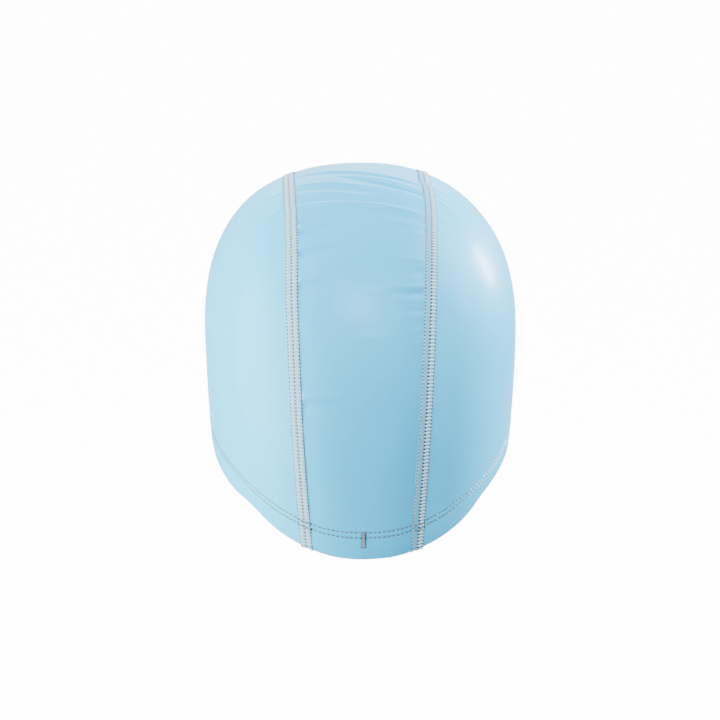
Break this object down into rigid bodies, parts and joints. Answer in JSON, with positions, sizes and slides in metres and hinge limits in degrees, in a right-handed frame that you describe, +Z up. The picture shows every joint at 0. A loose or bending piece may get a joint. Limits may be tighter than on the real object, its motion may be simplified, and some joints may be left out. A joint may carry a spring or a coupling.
{
  "type": "swim cap",
  "caption": "Close fitting three-panel swim cap of coated stretch cloth, rounded as when worn, with two raised lengthwise seams and a turned stitched hem.",
  "frame": {"origin": "in the head opening, straight below the crown, level with the low points of the hem at nape and brow", "axes": "+Z up out of the crown, -Y towards the nape, +Y towards the brow, +X towards the wearer's right"},
  "size_m": [0.168, 0.2038, 0.1729],
  "materials": {
    "cloth": "pale blue stretch knit with a smooth satin polyurethane coating",
    "thread": "light grey matt sewing thread"
  },
  "bodies": {
    "root": {"centre_panel": "cloth", "side_panel_left": "cloth", "side_panel_right": "cloth", "hem": "cloth", "seam_left": "thread", "seam_right": "thread", "bar_tack": "thread"}
  },
  "joints": []
}
